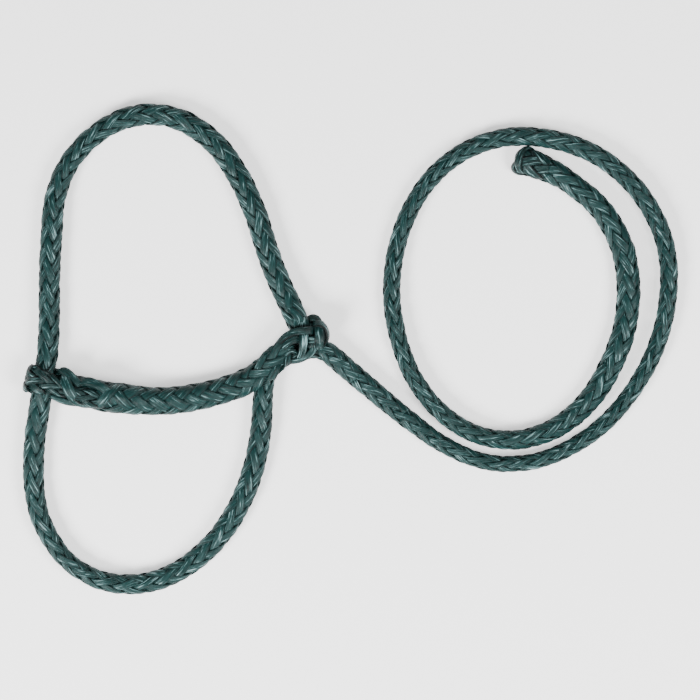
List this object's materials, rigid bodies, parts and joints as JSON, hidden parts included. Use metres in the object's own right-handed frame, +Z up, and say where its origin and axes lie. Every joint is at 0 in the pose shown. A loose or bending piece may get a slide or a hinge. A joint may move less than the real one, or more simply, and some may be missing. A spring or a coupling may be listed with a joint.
{
  "type": "rope halter",
  "caption": "Adjustable braided rope head halter for sheep and goats with nose band, crown, chin rope and attached lead lying in a loose spiral.",
  "frame": {"origin": "on the table, at the middle of the halter's own box without the lead", "axes": "+Y from the chin rope to the crown, along the laid-out halter's longest side; +X from the eye to the keeper and the lead; +Z up from the table"},
  "size_m": [0.3675, 0.2732, 0.0176],
  "materials": {
    "braid": "dark green hollow braid of glossy polypropylene multifilament, soft sheen, dark gaps between strands",
    "braid_flattened": "the same braid pulled flat where it wraps or is tucked, a little lighter and glossier",
    "braid_gripped": "the same braid in the shade inside an eye or another braid"
  },
  "bodies": {
    "halter": {"nose_band": "braid", "nose_band_buried_tail": "braid_gripped", "eye_cheek_pass": "braid_gripped", "eye_loop": "braid_flattened", "eye_neck": "braid", "eye_splice_sleeve": "braid", "eye_tail_crossing": "braid_flattened", "keeper_pass": "braid_gripped", "keeper_sleeve": "braid", "keeper_neck": "braid", "keeper_arch": "braid_flattened", "keeper_plait": "braid_flattened", "keeper_right_lobe": "braid_flattened", "keeper_lower_lobe": "braid_flattened"},
    "crown": {"crown_rope": "braid"},
    "chin": {"chin_rope": "braid"},
    "lead_start": {"lead_root": "braid"},
    "lead": {"lead_rope": "braid", "lead_end": "braid_flattened"}
  },
  "joints": [
    {"name": "crown_fold", "type": "hinge", "parent": "halter", "child": "crown", "pos_m": [-0.072, -0.003, 0.007], "axis": [0.9864, 0.1644, 0], "range_deg": [0, 90]},
    {"name": "chin_fold", "type": "hinge", "parent": "halter", "child": "chin", "pos_m": [-0.076, -0.03, 0.006], "axis": [-0.9995, -0.0321, 0], "range_deg": [0, 90]},
    {"name": "lead_lift", "type": "hinge", "parent": "halter", "child": "lead_start", "pos_m": [0.089, -0.005, 0.005], "axis": [0.2588, -0.9659, 0], "range_deg": [0, 60]},
    {"name": "lead_swing", "type": "hinge", "parent": "lead_start", "child": "lead", "pos_m": [0.113, -0.0254, 0.005], "axis": [0, 0, 1], "range_deg": [-25, 25]}
  ]
}
